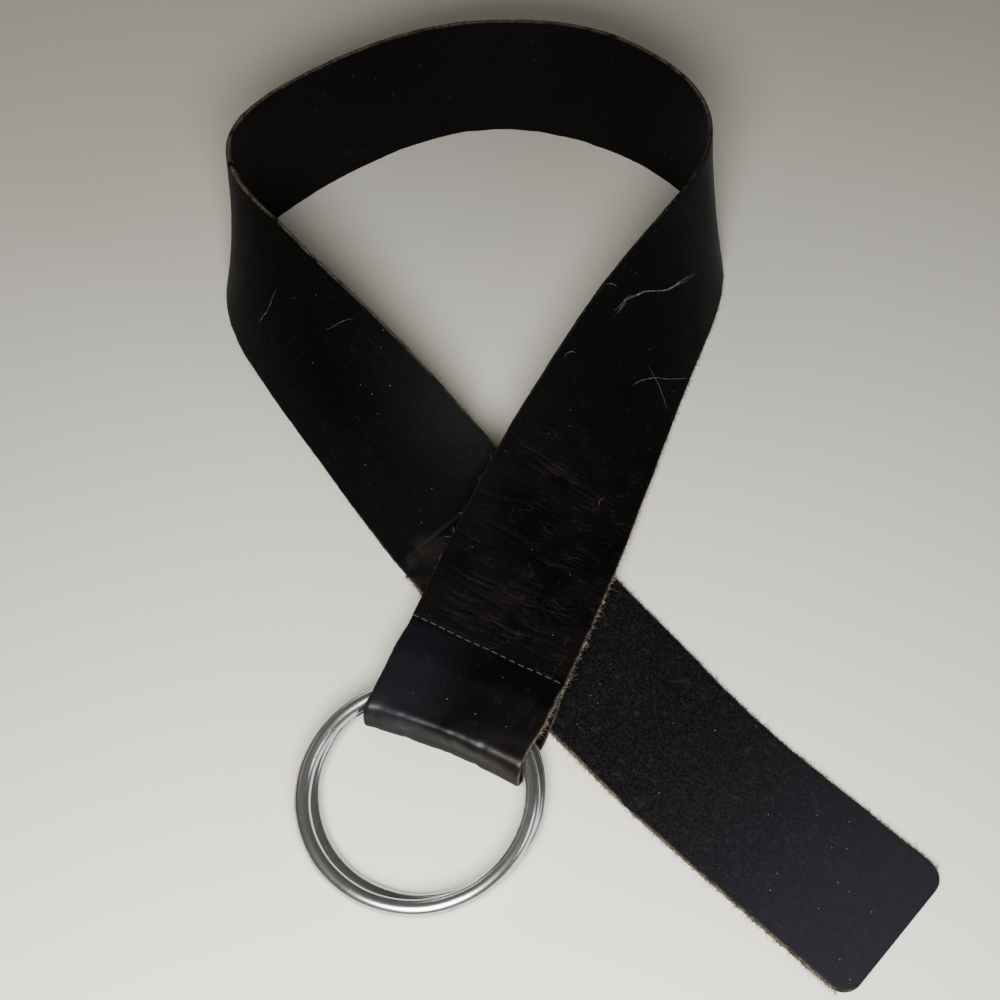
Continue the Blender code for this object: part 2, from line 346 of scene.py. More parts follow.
def over_rings(distance):
    """Height of the top ply's middle where it lies over the rings."""
    tilt = ring_tilt()
    from_centre = distance + ring_reach() - RING_STEP
    base = RING_WIRE / 2 + (RING_RADIUS + from_centre) * math.tan(tilt)
    upper = base + (RING_WIRE + CLEARANCE) / math.cos(tilt)
    return upper + RING_WIRE / 2 + CLEARANCE + LEATHER / 2


UPPER_FAR = RING_RADIUS + RING_WIRE / 2 - ring_reach()
LOWER_FAR = UPPER_FAR + RING_STEP
FOLD_HEIGHT = over_rings(UPPER_FAR)
BEND_DEPTH = LEATHER / 2 + (over_rings(RING_WIRE) - FLAP_MIDDLE) / 2 * BEND_SHAPE


def fine_plan():
    """The low edge's place in plan at the fine shares, the heading added up along the run."""
    heading = np.radians(COURSE_CURVES["heading"])
    step = STRAP_RUN / (FINE_COURSE - 1)
    middle = (heading[1:] + heading[:-1]) / 2
    x = np.concatenate(([0], np.cumsum(np.cos(middle) * step)))
    y = np.concatenate(([0], np.cumsum(np.sin(middle) * step)))
    return x, y


FINE_X, FINE_Y = fine_plan()


def top_ply(distance, reach):
    """Middle sheet of the upper ply: the low edge plus the reach along the leaning width."""
    share = 1 - distance / COURSE_RUN
    heading = np.radians(course_value("heading", share))
    lean = np.radians(course_value("lean", share))
    side = heading - math.pi / 2
    rest = LEATHER / 2 * np.abs(np.cos(lean))
    low = course_value("rise", share) * (FOLD_HEIGHT - LEATHER / 2) + rest
    x = np.interp(share, FINE_SHARES, FINE_X) + reach * np.cos(side) * np.cos(lean)
    y = np.interp(share, FINE_SHARES, FINE_Y) + reach * np.sin(side) * np.cos(lean)
    z = low + reach * np.sin(lean)
    near = ease((STITCH_TO_FOLD - distance) / (STITCH_TO_FOLD - UPPER_FAR))
    z = z * (1 - near) + over_rings(distance) * near
    return np.stack([x, y, z], axis=-1)


def width_at(distance):
    """The strap's width at a distance from the fold's end."""
    return course_value("width", 1 - distance / COURSE_RUN) * STRAP_WIDTH


def middle_sheet(distance, turn, lift, reach):
    """Middle sheet of both plies: the bend is a rounded box of power 0.8 sines and cosines."""
    share = reach / width_at(distance)
    pressed = FOLD_PINCH * ease((PINCH_RUN - distance) / (PINCH_RUN - BEND_DEPTH))
    points = top_ply(distance, reach + pressed * (1 - share))
    meet = ease((distance - LOWER_FAR) / (STITCH_TO_FOLD - LOWER_FAR))
    ply = LEATHER + CLEARANCE + PLY_ROOM
    low = FLAP_MIDDLE * (1 - meet) + (points[..., 2] - ply) * meet
    points[..., 2] = low + (points[..., 2] - low) * lift
    sag = FOLD_SAG * (1 - (2 * share - 1) ** 2)
    out = (BEND_DEPTH - LEATHER / 2) * np.maximum(np.cos(turn), 0) ** BEND_POWER - sag * np.cos(turn)
    out = np.where(np.cos(turn) > 1e-6, out, 0)
    heading = math.radians(COURSE[-1][1])
    points[..., 0] += out * math.cos(heading)
    points[..., 1] += out * math.sin(heading)
    return points


def tip_trim(from_tip):
    """What the rounded corners of the free end take off the width: quarter circles."""
    inside = np.clip(TIP_RADIUS - from_tip, 0, TIP_RADIUS)
    return TIP_RADIUS - np.sqrt(np.maximum(TIP_RADIUS ** 2 - inside ** 2, 0))


def sheet_offset():
    """Moves the sheet into the frame: its lowest corner goes to the solid strap's."""
    distance = np.linspace(BEND_DEPTH, STRAP_RUN, 1800)[:, None]
    trim = tip_trim(STRAP_RUN - distance)
    reach = trim + np.linspace(0, 1, 9)[None, :] * (width_at(distance) - 2 * trim)
    flat = np.full(reach.shape, math.pi / 2)
    points, outward = with_outward(distance + 0 * reach, flat, flat * 0 + 1, reach)
    skins = np.concatenate([points - outward * LEATHER / 2, points + outward * LEATHER / 2])
    low = skins.reshape(-1, 3).min(axis=0)
    return np.array(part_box("strap")[0]) - low


def with_outward(distance, turn, lift, reach):
    """Points of the middle sheet and their outward normals, from differences both ways."""
    points = middle_sheet(distance, turn, lift, reach)
    across = middle_sheet(distance, turn, lift, reach + PROBE)
    across -= middle_sheet(distance, turn, lift, reach - PROBE)
    along = np.gradient(points, axis=0)
    outward = np.cross(across, along)
    outward /= np.linalg.norm(outward, axis=-1)[..., None]
    return points, outward


PLACE = sheet_offset()


# Small unevenness

def soft_noise(u, v, seed):
    """Random heights on a unit lattice, blended with a smooth step, from -1 to 1."""
    table = np.random.default_rng(seed).uniform(-1, 1, (97, 97))
    i, j = np.floor(u).astype(int), np.floor(v).astype(int)
    s, t = ease(u - i), ease(v - j)
    low = table[i % 97, j % 97] * (1 - s) + table[(i + 1) % 97, j % 97] * s
    high = table[i % 97, (j + 1) % 97] * (1 - s) + table[(i + 1) % 97, (j + 1) % 97] * s
    return low * (1 - t) + high * t


def bump_over(value, middle, spread):
    """A bell: the exponential of minus the squared distance in spreads."""
    return np.exp(-((value - middle) / spread) ** 2)


def band(value, low, high, blur):
    """1 between two values, falling smoothly to 0 over the blur outside them."""
    return ease((value - low + blur) / blur) * ease((high + blur - value) / blur)


def seam_line(across):
    """The stitches' distance from the fold's end: a straight line across the strap."""
    return SEAM_RIGHT + (SEAM_LEFT - SEAM_RIGHT) * across


def cross_crease(distance, across):
    """Distance from the deep crease's wandering line, and its fading towards the lower edge."""
    wander = 0.0008 * soft_noise(across * 6, distance * 0, 8)
    return distance - CROSS_CREASE - wander, band(across, 0.16, 1.0, 0.14)


def waves(distance, reach, table):
    """Soft noises added up, each by its height, its two lengths and its number."""
    total = 0
    for height, along, wide, number in table:
        total = total + height * soft_noise(distance / along, reach / wide, number)
    return total


def crease_lines():
    """Seeded short creases across the ringed arm, one row each, denser towards the stitches."""
    draw = np.random.default_rng(23)
    groups = []
    for number, (count, pairs) in enumerate(zip(CREASE_COUNTS, CREASE_GROUPS)):
        if number == 0:
            place = 0.036 + 0.030 * draw.beta(1.1, 2.0, count)
        elif number == 1:
            place = draw.uniform(0.055, 0.118, count)
        else:
            place = BUNDLE + draw.normal(0, 0.0018, count)
        parts = [place]
        for part, pair in zip(CREASE_PARTS, pairs):
            way = draw.normal if part in ("bow", "slant") else draw.uniform
            parts.append(way(*pair, count))
        groups.append(np.stack(parts, axis=1))
    return np.concatenate(groups)


def crease_depth(distance, across):
    """Depth of the short creases and how strongly each place is streaked."""
    depth = np.zeros(np.broadcast(distance, across).shape)
    streak = np.zeros(depth.shape)
    for place, middle, half, deep, spread, bow, slant in crease_lines():
        offset = across - middle
        line = place + slant * offset + bow * (offset / half) ** 2
        window = ease(1.35 - np.abs(offset) / half)
        shape = bump_over(distance, line, spread) * window
        depth += deep * shape
        streak = np.maximum(streak, shape * (0.4 + deep / 0.0002))
    return depth, streak


def outer_relief(distance, across):
    """Height of the outer face over the plain sheet: waves, grooves and creases added up."""
    reach = across * STRAP_WIDTH
    relief = waves(distance, reach, OUTER_WAVES)
    relief -= crease_depth(distance, across)[0]
    relief -= 0.00020 * bump_over(distance, seam_line(across), 0.0009)
    gap, fade = cross_crease(distance, across)
    relief -= 0.00026 * bump_over(gap, 0, 0.0005) * fade
    relief += 0.00008 * bump_over(gap, -0.0012, 0.0008) * fade
    ripple = band(distance, 0.630, 0.652, 0.006)
    relief += 0.00012 * ripple * soft_noise(distance / 0.0016, reach / 0.007, 9)
    return relief


def inner_relief(distance, across):
    """Height of the inner face: soft waves and the upright wrinkles at the back of the loop."""
    reach = across * STRAP_WIDTH
    back = band(distance, 0.27, 0.44, 0.05)
    relief = waves(distance, reach, (INNER_WAVE,))
    relief += 0.00022 * back * soft_noise(distance / 0.0045, reach / 0.034, 16)
    return relief


# Mesh makers

def make_mesh(name, points, faces, material, smooth=True):
    """An object at the origin from arrays of points and of four-cornered faces."""
    mesh = bpy.data.meshes.new(name)
    count = len(faces)
    mesh.vertices.add(len(points))
    mesh.vertices.foreach_set("co", np.asarray(points, dtype=np.float32).ravel())
    mesh.loops.add(count * 4)
    mesh.loops.foreach_set("vertex_index", np.asarray(faces, dtype=np.int32).ravel())
    mesh.polygons.add(count)
    mesh.polygons.foreach_set("loop_start", np.arange(count, dtype=np.int32) * 4)
    mesh.update(calc_edges=True)
    mesh.validate()
    if smooth:
        mesh.shade_smooth()
    mesh.materials.append(material)
    piece = bpy.data.objects.new(name, mesh)
    bpy.context.collection.objects.link(piece)
    return piece


def add_attribute(piece, name, values, kind="FLOAT"):
    """A value for each vertex, single or a vector of three."""
    layer = piece.data.attributes.new(name, kind, "POINT")
    key = "vector" if kind == "FLOAT_VECTOR" else "value"
    layer.data.foreach_set(key, np.asarray(values, dtype=np.float32).ravel())


def grid_faces(rows, columns, closed=False):
    """Faces of a grid of closed columns, row by row; closed joins the last row to the first."""
    i = np.arange(rows if closed else rows - 1)[:, None]
    j = np.arange(columns)[None, :]
    below, after = (i + 1) % rows, (j + 1) % columns
    corners = [i * columns + j, i * columns + after, below * columns + after, below * columns + j]
    return np.stack(np.broadcast_arrays(*corners), axis=-1).reshape(-1, 4)


def tubes(paths, radii, sides):
    """Round tubes along many paths at once: (path, place, 3) points and (path, place) radii.

    Each ring of points is the radius times a cosine and a sine along two
    directions square to the path. The ends of a tube stay open.
    """
    along = np.gradient(paths, axis=1)
    along /= np.linalg.norm(along, axis=2)[..., None] + 1e-12
    helper = np.where(np.abs(along[..., 2:]) > 0.9, [1.0, 0, 0], [0, 0, 1.0])
    first = np.cross(along, helper)
    first /= np.linalg.norm(first, axis=2)[..., None]
    second = np.cross(along, first)
    angle = np.linspace(0, 2 * math.pi, sides, endpoint=False)
    ring = first[:, :, None] * np.cos(angle)[:, None] + second[:, :, None] * np.sin(angle)[:, None]
    points = paths[:, :, None] + ring * radii[:, :, None, None]
    count, places = paths.shape[:2]
    one = grid_faces(places, sides)
    shift = np.arange(count)[:, None, None] * places * sides
    return points.reshape(-1, 3), (one[None] + shift).reshape(-1, 4)


# The strap

def strap_stations():
    """Distance, turn and lift of each station, from the free end to the flap's end."""
    tip = TIP_RADIUS * (1 - np.cos(np.linspace(0, math.pi / 2, 12)))
    end = EDGE_ROUND * (1 - np.cos(np.linspace(0, math.pi / 2, 5)))
    start = np.unique(np.round(np.concatenate([tip, end]), 6))
    places, steps = [column(STEPS, STEP_COLUMNS, name) for name in STEP_COLUMNS]
    fine = np.linspace(BEND_DEPTH, STRAP_RUN - TIP_RADIUS, 20001)
    count = np.concatenate(([0], np.cumsum(np.diff(fine) / np.interp(fine[1:], places, steps))))
    run = np.interp(np.arange(0, math.floor(count[-1])), count, fine)[::-1]
    top = np.concatenate([STRAP_RUN - start, run])
    fine = np.linspace(0, math.pi, 2001)[1:-1]
    x = np.sin(fine) ** BEND_POWER
    z = np.sign(np.cos(fine)) * np.abs(np.cos(fine)) ** BEND_POWER
    length = np.concatenate(([0], np.cumsum(np.hypot(np.diff(x), np.diff(z)))))
    even = np.linspace(0, length[-1], BEND_STATIONS + 2)[1:-1]
    turn = math.pi / 2 - np.interp(even, length, fine)
    lift = (1 + np.sign(np.sin(turn)) * np.abs(np.sin(turn)) ** BEND_POWER) / 2
    flap_end = FLAP_LENGTH - end[::-1]
    flap = np.linspace(BEND_DEPTH, flap_end[0], round((FLAP_LENGTH - BEND_DEPTH) / FLAP_STEP))
    flap = np.concatenate([flap[:-1], flap_end])
    distance = np.concatenate([top, np.full(BEND_STATIONS, BEND_DEPTH), flap])
    turns = np.concatenate([np.full(len(top), math.pi / 2), turn, np.full(len(flap), -math.pi / 2)])
    lifts = np.concatenate([np.ones(len(top)), lift, np.zeros(len(flap))])
    return distance, turns, lifts, len(top)


def section_profile():
    """Round the strap's section: share across, pull towards the middle, height in half walls."""
    share = np.linspace(0, 1, FACE_CELLS + 1)
    angles = np.radians(EDGE_ANGLES)
    round_in = 1 - np.sin(angles)
    drop = 1 - EDGE_ROUND / (LEATHER / 2) * (1 - np.cos(angles))
    one = np.ones(len(share))
    w = np.concatenate([share, np.ones(CORNER_POINTS), share[::-1], np.zeros(CORNER_POINTS)])
    pull = np.concatenate([1 - 2 * share, -round_in, -round_in[::-1],
                           1 - 2 * share[::-1], round_in, round_in[::-1]])
    height = np.concatenate([one, drop, -drop[::-1], -one, -drop, drop[::-1]])
    return w, pull, height


def strap_body(material):
    """The whole strap: its section carried along the course, round the rings and back."""
    distance, turn, lift, top = strap_stations()
    w, pull, height = section_profile()
    width = width_at(distance)[:, None]
    from_tip = np.where(np.arange(len(distance)) < top, STRAP_RUN - distance, 1.0)
    trim = tip_trim(from_tip)[:, None]
    columns = len(w)
    d = distance[:, None] + np.zeros((1, columns))
    reach = trim + (width - 2 * trim) * w + EDGE_ROUND * pull
    near_edge = np.exp(-np.minimum(reach, width - reach) / 0.0015)
    sign = np.where(w > 0.5, 1.0, -1.0)
    ragged = 0.00010 * soft_noise(d / 0.0011, w * 40 + height * 1.3, 31)
    ragged += 0.00012 * soft_noise(d / 0.006, w * 40 + 0 * d, 32)
    reach = reach + sign * near_edge * ragged - sign * near_edge * 0.00012
    turns = turn[:, None] + 0 * d
    lifts = lift[:, None] + 0 * d
    middle, outward = with_outward(d, turns, lifts, reach)
    from_flap = np.where(np.arange(len(distance)) >= top + BEND_STATIONS,
                         FLAP_LENGTH - distance, 1.0)
    ends = np.clip(np.minimum(from_tip, from_flap), 0, EDGE_ROUND)
    wall = LEATHER / 2 - EDGE_ROUND + np.sqrt(EDGE_ROUND ** 2 - (EDGE_ROUND - ends) ** 2)
    across = reach / width
    face = np.abs(height)
    flat = ease((lift[:, None] - 0.02) / 0.2) * ease(wall[:, None] / (LEATHER / 2) * 3 - 2)
    relief = np.where(height > 0, outer_relief(d, across), inner_relief(d, across))
    relief = relief * face * flat + fold_relief(across, turns, height)
    h = wall[:, None] * height[None, :]
    points = middle + outward * (h + relief * np.sign(height))[..., None] + PLACE
    rows = len(distance)
    faces = grid_faces(rows, columns)
    first = np.arange(FACE_CELLS + 1)
    mirror = 2 * FACE_CELLS + 1 + CORNER_POINTS - first
    caps = []
    for row, way in ((0, 1), (rows - 1, -1)):
        strip = np.stack([first[1:], first[:-1], mirror[:-1], mirror[1:]], axis=1) + row * columns
        caps.append(strip[:, ::way])
        caps += edge_caps(row, columns, way)
    faces = np.concatenate([faces] + caps)
    piece = make_mesh("strap_leather_body", points.reshape(-1, 3), faces, material)
    s = arc_length(middle)
    lay = np.stack([s + 0 * d, reach, h], axis=-1)
    add_attribute(piece, "lay", lay, "FLOAT_VECTOR")
    add_masks(piece, d, across, height[None, :] + 0 * d, turns, lifts)
    return piece


def edge_caps(row, columns, way):
    """The end's two round edges, each closed by faces between its upper and lower half."""
    half = CORNER_POINTS // 2 + 1
    right = FACE_CELLS + np.arange(2 * half)
    left = (2 * FACE_CELLS + 1 + CORNER_POINTS + np.arange(2 * half)) % columns
    caps = []
    for run in (right, left):
        upper, lower = run[:half], run[:half - 1:-1]
        strip = np.stack([upper[1:], upper[:-1], lower[:-1], lower[1:]], axis=1)
        caps.append((strip + row * columns)[:, ::way])
    return caps


def arc_length(middle):
    """Length along the strap's middle line, one value for each station."""
    line = middle[:, FACE_CELLS // 2]
    step = np.linalg.norm(np.diff(line, axis=0), axis=1)
    return np.concatenate(([0], np.cumsum(step)))[:, None]


def fold_relief(across, turn, height):
    """Short upright creases in the fold's rounded front, grooves along the bend."""
    bend = np.cos(turn)
    draw = np.random.default_rng(41)
    relief = 0 * across
    for middle in np.concatenate([draw.uniform(0.72, 0.97, 5), draw.uniform(0.05, 0.7, 6)]):
        deep = draw.uniform(0.00010, 0.00028)
        spread = draw.uniform(0.010, 0.022)
        line = middle + 0.02 * np.sin(turn * 2 + middle * 9)
        relief = relief - deep * bump_over(across, line, spread)
    relief = relief + 0.00012 * soft_noise(across * 12, turn * 1.5, 42)
    return relief * np.maximum(bend, 0) ** 0.7 * (height > 0.2)


def add_masks(piece, distance, across, height, turn, lift):
    """Vertex values that say where the leather is napped, worn, warm in colour or creased, and where sheen
    and a crease highlight are painted.
    """
    outer = ease(height * 4 - 2)
    edge = 1 - ease((np.abs(height) - 0.75) / 0.25)
    wander = 0.006 * soft_noise(across * 5, distance / 0.02, 51)
    nap = ease((distance + wander - NAP_START) / 0.016) * outer
    scuffed = band(distance + wander, 0.629, 0.655, 0.004) * outer
    scuffed = scuffed + band(distance, 0.0035, 0.0065, 0.0015) * ease((across - 0.86) / 0.1)
    gap, fade = cross_crease(distance, across)
    # Painted highlight: a thin lighter line beside the deep cross crease, on its raised ridge where it
    # catches the light; the streak mask holds it together with the short creases' cracked finish
    ridge_highlight = bump_over(gap, -0.0008, 0.0004) * fade
    streak = np.maximum(crease_depth(distance, across)[1] ** 4, ridge_highlight) * outer * (lift > 0.5)
    polished = ease((0.013 - distance) / 0.006) * outer * ease((np.sin(turn) + 0.1) / 0.9)
    polished = polished + 0.9 * band(distance, *BACK_RUN, 0.05) * outer
    hidden = ease((across - 0.5) * 8) * (1 - ease((distance - 0.22) / 0.04))
    # Warm brown tone of the leather on the ringed arm and by the fold; the bump at 0.595 is a painted brown
    # satin sheen on the standing arm's leaning face
    warm_tone_and_sheen = band(distance, 0.045, 0.125, 0.03) * 0.6
    warm_tone_and_sheen = warm_tone_and_sheen + 0.5 * bump_over(distance, 0.595, 0.045) * ease(across * 1.6 - 0.3)
    warm_tone_and_sheen = warm_tone_and_sheen + band(distance, 0.0, 0.03, 0.006) * ease((0.62 - across) / 0.5) * 1.2
    # Painted blue-grey sheen: on the fold's flat part, along the standing arm's lower edge, growing towards
    # the free end, and on the loop from its right bend round the back
    painted_sheen = band(distance, 0.0, 0.03, 0.006) * ease((across - 0.45) / 0.4)
    painted_sheen = painted_sheen + band(distance, 0.47, 0.64, 0.05) * ease(1 - across * 1.8) * 0.35
    painted_sheen = painted_sheen + ease((distance - 0.72) / 0.10) + 0.6 * band(distance, 0.21, 0.43, 0.03)
    masks = {
        "outer": outer,
        "edge": edge,
        "raw_edge": edge * (1 - 0.85 * hidden),
        "nap": nap,
        "scuffed": scuffed,
        "polished": polished,
        "streak": np.clip(streak, 0, 1),
        "warm_tone_and_sheen": np.clip(warm_tone_and_sheen, 0, 1) * outer,
        "painted_sheen": np.clip(painted_sheen, 0, 1) * outer,
        "crinkled": band(distance, 0.038, 0.112, 0.012) * ease(1.25 - across) * outer,
    }
    for name, values in masks.items():
        add_attribute(piece, name, values)


# Small things on the leather

def top_sheet(distance, reach):
    """The top ply's middle sheet with its directions across, along and outwards."""
    flat = np.full(distance.shape, math.pi / 2)
    one = np.ones(distance.shape)
    middle = middle_sheet(distance, flat, one, reach)
    wide = (middle_sheet(distance, flat, one, reach + PROBE) - middle) / PROBE
    along = (middle_sheet(distance - PROBE, flat, one, reach) - middle) / PROBE
    return middle, wide, along, np.cross(wide, along)


def on_outer(distance, across, height):
    """Points over the outer face: the sheet plus half the wall, the relief and a height."""
    distance, across = np.broadcast_arrays(distance, across)
    middle, wide, along, outward = top_sheet(distance, across * width_at(distance))
    outward /= np.linalg.norm(outward, axis=-1)[..., None]
    rise = LEATHER / 2 + outer_relief(distance, across) + height
    return middle + outward * rise[..., None] + PLACE


def stitches(material):
    """A row of short thread loops across the strap, each arched over the groove."""
    start = np.linspace(0.03, 0.955, STITCH_COUNT)
    t = np.linspace(0, 1, STITCH_PLACES)[None, :]
    across = start[:, None] + t * 0.046
    distance = seam_line(across) + 0.00012 * np.sin(start * 91)[:, None]
    height = 0.00030 * np.sqrt(np.clip(1 - (2 * t - 1) ** 2, 0, 1)) - 0.00022
    paths = on_outer(distance, across, height + 0 * across)
    radii = THREAD_RADIUS * np.clip(1.15 - (2 * t - 1) ** 8, 0.05, 1) + 0 * across
    points, faces = tubes(paths, radii, 8)
    return make_mesh("seam_stitches", points, faces, material)


def loose_strands(material):
    """Lint and hairs that lie on the leather: each strand's places joined by smooth pieces."""
    strand, along, over = [column(STRANDS, STRAND_COLUMNS, name) for name in STRAND_COLUMNS]
    draw = np.random.default_rng(71)
    t = np.linspace(0, 1, STRAND_PLACES)
    paths, radii = [], []
    for number, thick, copies in STRAND_KINDS:
        rows = strand == number
        mark = np.linspace(0, 1, rows.sum())
        for copy in range(copies):
            start, end = (0, 1) if copy == 0 else np.sort(draw.uniform(0, 1, 2))
            place = start + (end - start) * t
            wander = (0.0003 + 0.0005 * (copy > 0)) * (0.3 + 1.8 * (2 * place - 1) ** 2)
            sway = soft_noise(place * 6 + copy * 5, place * 0 + number, 72)
            spread = soft_noise(place * 5 + copy * 7, place * 0 + number, 73)
            distance = smooth_curve(mark, along[rows], place) + wander * sway
            across = smooth_curve(mark, over[rows], place) + wander * spread / STRAP_WIDTH
            lift = 0.00012 + 0.0003 * np.abs(soft_noise(place * 4 + copy, place * 0 + number, 74))
            paths.append(on_outer(distance, np.clip(across, 0.002, 0.998), lift))
            radii.append(thick * np.clip(1.1 - (2 * t - 1) ** 4, 0.1, 1))
    points, faces = tubes(np.array(paths), np.array(radii), 6)
    return make_mesh("loose_strands", points, faces, material)


def edge_fibres(material):
    """Short curved fibres that stand out of the cut edges, three-sided and thin."""
    draw = np.random.default_rng(61)
    count = FIBRE_COUNT
    zone = draw.random(count)
    distance = np.where(zone < 0.60, draw.uniform(0.63, 0.805, count),
                        np.where(zone < 0.85, draw.uniform(0.012, 0.22, count),
                                 draw.uniform(0.2, 0.63, count)))
    low_side = draw.random(count) < np.where(distance < 0.22, 0.92, 0.60)
    across = np.where(low_side, 0.0, 1.0)
    sign = np.where(low_side, -1.0, 1.0)
    middle, wide, along, outward = top_sheet(distance, across * width_at(distance))
    level = draw.uniform(-0.85, 0.9, count) * LEATHER / 2
    base = middle + outward * level[:, None] - wide * (sign * 0.0002)[:, None]
    length = np.minimum(draw.gamma(2.2, 0.00032, count) + 0.0002, FIBRE_LENGTH)
    way = wide * sign[:, None] * draw.uniform(0.3, 1.0, count)[:, None]
    way = way + along * draw.normal(0, 0.7, count)[:, None]
    way = way + outward * draw.normal(0.1, 0.45, count)[:, None]
    way /= np.linalg.norm(way, axis=1)[:, None]
    curl = np.stack([draw.normal(0, 0.45, count) for axis in range(3)], axis=1)
    t = np.linspace(0, 1, FIBRE_PLACES)[None, :, None]
    paths = base[:, None] + length[:, None, None] * (way[:, None] * t + curl[:, None] * t * t)
    paths = paths + PLACE
    paths[..., 2] = np.maximum(paths[..., 2], 0.00006)
    radii = FIBRE_RADIUS * (1 - 0.8 * t[..., 0]) * draw.uniform(0.7, 1.5, count)[:, None]
    points, faces = tubes(paths, radii, 3)
    return make_mesh("edge_fibres", points, faces, material)


# The rings

def ring_body(name, node, joint, material, seed):
    """A ring of round wire about its joint's axis, with faint dents along the wire."""
    centre = np.array(joint["pos_m"])
    axis = np.array(joint["axis"])
    axis /= np.linalg.norm(axis)
    first = np.cross(axis, [1.0, 0, 0])
    first /= np.linalg.norm(first)
    second = np.cross(axis, first)
    round_steps, wire_steps = 300, 40
    u = np.linspace(0, 2 * math.pi, round_steps, endpoint=False)[:, None]
    v = np.linspace(0, 2 * math.pi, wire_steps, endpoint=False)[None, :]
    worn = 0.00002 * (np.sin(u * 7 + seed) * np.cos(v * 2) + np.sin(u * 13 + v + seed))
    wire = RING_WIRE / 2 - 0.00003 + worn
    out = RING_RADIUS + wire * np.cos(v)
    ring = first * np.cos(u)[..., None] + second * np.sin(u)[..., None]
    points = centre + ring * out[..., None] + axis * (wire * np.sin(v))[..., None]
    faces = grid_faces(round_steps, wire_steps, closed=True)[:, [0, 3, 2, 1]]
    piece = make_mesh(name, points.reshape(-1, 3), faces, material)
    lay = np.stack([u * RING_RADIUS + 0 * v, v * RING_WIRE / 2 + 0 * u, 0 * (u + v)], axis=-1)
    add_attribute(piece, "lay", lay, "FLOAT_VECTOR")
    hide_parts(node)
    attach(piece, node)


# Materials

def add(tree, kind, inputs=None, **settings):
    """One node with its settings and inputs, which are values or other nodes' outputs."""
    node = tree.nodes.new(kind)
    for name, value in settings.items():
        setattr(node, name, value)
    for name, value in (inputs or {}).items():
        if isinstance(value, bpy.types.NodeSocket):
            tree.links.new(value, node.inputs[name])
        else:
            node.inputs[name].default_value = value
    return node


def maths(tree, operation, a, b=0.0, c=0.0):
    """A Math node's output."""
    return add(tree, "ShaderNodeMath", {0: a, 1: b, 2: c}, operation=operation).outputs[0]


def product(tree, first, *others):
    """Values multiplied one after another."""
    for value in others:
        first = maths(tree, "MULTIPLY", first, value)
    return first


def between(tree, value, low, high):
    """0 below low, 1 above high and a smooth step between."""
    node = add(tree, "ShaderNodeMapRange", {0: value, 1: low, 2: high, 3: 0.0, 4: 1.0},
               interpolation_type="SMOOTHSTEP")
    return node.outputs[0]


def tint(tree, factor, a, b):
    """Two colours mixed by a factor, each a name in the table or another node's output."""
    a, b = [COLOURS[value] if isinstance(value, str) else value for value in (a, b)]
    node = add(tree, "ShaderNodeMix", {0: factor, 6: a, 7: b}, data_type="RGBA")
    return node.outputs[2]


def noise(tree, vector, scale, detail=3.0, roughness=0.5):
    """A Noise texture's height."""
    node = add(tree, "ShaderNodeTexNoise",
               {"Vector": vector, "Scale": scale, "Detail": detail, "Roughness": roughness})
    return node.outputs[0]


def stretched(tree, vector, scale, turn=0.0):
    """A vector scaled on each axis and turned in the plane of the face."""
    node = add(tree, "ShaderNodeMapping",
               {"Vector": vector, "Scale": scale, "Rotation": (0, 0, turn)})
    return node.outputs[0]


def value_at(tree, name):
    """A vertex value by its name."""
    return add(tree, "ShaderNodeAttribute", attribute_name=name).outputs["Fac"]


def vector_at(tree, name):
    """A vertex vector by its name."""
    return add(tree, "ShaderNodeAttribute", attribute_name=name).outputs["Vector"]


def new_group(name, inputs, outputs):
    """An empty node group with named inputs (kind and value) and outputs (kind)."""
    group = bpy.data.node_groups.new(name, "ShaderNodeTree")
    for label, kind, value in inputs:
        socket = group.interface.new_socket(name=label, in_out="INPUT", socket_type=kind)
        if value is not None:
            socket.default_value = value
    for label, kind in outputs:
        group.interface.new_socket(name=label, in_out="OUTPUT", socket_type=kind)
    enter = group.nodes.new("NodeGroupInput")
    leave = group.nodes.new("NodeGroupOutput")
    return group, enter.outputs, leave.inputs


def use_group(tree, group, inputs):
    """A group placed in a tree with its own values."""
    return add(tree, "ShaderNodeGroup", inputs, node_tree=group).outputs


def hide_grain_group():
    """Fine pebbles and pores of a hide: cells with soft borders over a finer noise."""
    group, inside, out = new_group(
        "hide_grain", [("Vector", "NodeSocketVector", None), ("Scale", "NodeSocketFloat", 1400.0)],
        [("Height", "NodeSocketFloat"), ("Tone", "NodeSocketFloat")])
    pebbles = add(group, "ShaderNodeTexVoronoi",
                  {"Vector": inside["Vector"], "Scale": inside["Scale"], "Smoothness": 0.6},
                  feature="SMOOTH_F1").outputs["Distance"]
    twice = product(group, inside["Scale"], 2.6)
    fine = add(group, "ShaderNodeTexNoise",
               {"Vector": inside["Vector"], "Scale": twice, "Detail": 2.0}).outputs[0]
    height = maths(group, "MULTIPLY_ADD", fine, 0.5, product(group, pebbles, -0.7))
    group.links.new(height, out["Height"])
    group.links.new(between(group, pebbles, 0.15, 0.75), out["Tone"])
    return group


# Inputs and outputs of a group that gives a mask
MASK_SOCKETS = (
    (("Vector", "NodeSocketVector", None), ("Amount", "NodeSocketFloat", 0.5)),
    (("Mask", "NodeSocketFloat"),),
)


